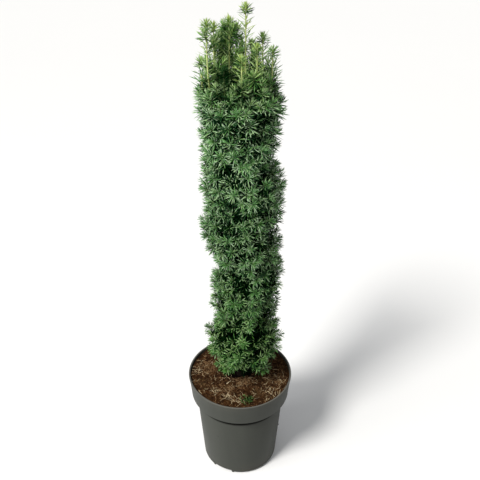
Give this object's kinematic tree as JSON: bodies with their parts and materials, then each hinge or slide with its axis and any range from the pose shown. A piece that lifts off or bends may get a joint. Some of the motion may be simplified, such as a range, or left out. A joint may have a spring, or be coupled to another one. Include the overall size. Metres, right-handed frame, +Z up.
{
  "type": "potted yew",
  "caption": "Slender upright yew, a dense column of short dark green needle sprays with soft leading shoots on top, in a round grey plastic pot with a deep collar.",
  "frame": {"origin": "on the pot's axis, in the plane that the pot stands on", "axes": "+Z up along the plant, -Y towards the front, +X to the right"},
  "size_m": [0.2336, 0.2336, 1.104],
  "materials": {
    "pot": "satin moulded plastic",
    "compost": "moist fibrous peat",
    "bark": "thin flaking bark",
    "foliage": "waxy needles",
    "young_foliage": "soft young needles"
  },
  "bodies": {
    "root": {"pot": "pot", "compost": "compost", "trunk": "bark", "bough_inner_left": "bark", "bough_far_left": "bark", "bough_left": "bark", "bough_back_left": "bark", "bough_back": "bark", "bough_back_right": "bark", "bough_inner_right": "bark", "bough_right": "bark", "bough_front_right": "bark", "bough_front": "bark", "bough_front_left": "bark", "bough_low_left": "bark", "shoot_centre": "young_foliage", "shoot_inner_left": "young_foliage", "shoot_far_left": "young_foliage", "shoot_left": "young_foliage", "shoot_back_left": "young_foliage", "shoot_back": "young_foliage", "shoot_back_right": "young_foliage", "shoot_inner_right": "young_foliage", "shoot_right": "young_foliage", "shoot_front_right": "young_foliage", "shoot_front": "young_foliage", "shoot_front_left": "young_foliage", "shoot_low_left": "young_foliage", "foliage_foot_front": "foliage", "foliage_foot_right": "foliage", "foliage_foot_back": "foliage", "foliage_foot_left": "foliage", "foliage_lower_front": "foliage", "foliage_lower_right": "foliage", "foliage_lower_back": "foliage", "foliage_lower_left": "foliage", "foliage_middle_front": "foliage", "foliage_middle_right": "foliage", "foliage_middle_back": "foliage", "foliage_middle_left": "foliage", "foliage_upper_front": "foliage", "foliage_upper_right": "foliage", "foliage_upper_back": "foliage", "foliage_upper_left": "foliage", "foliage_shoulder_front": "foliage", "foliage_shoulder_right": "foliage", "foliage_shoulder_back": "foliage", "foliage_shoulder_left": "foliage"}
  },
  "joints": []
}
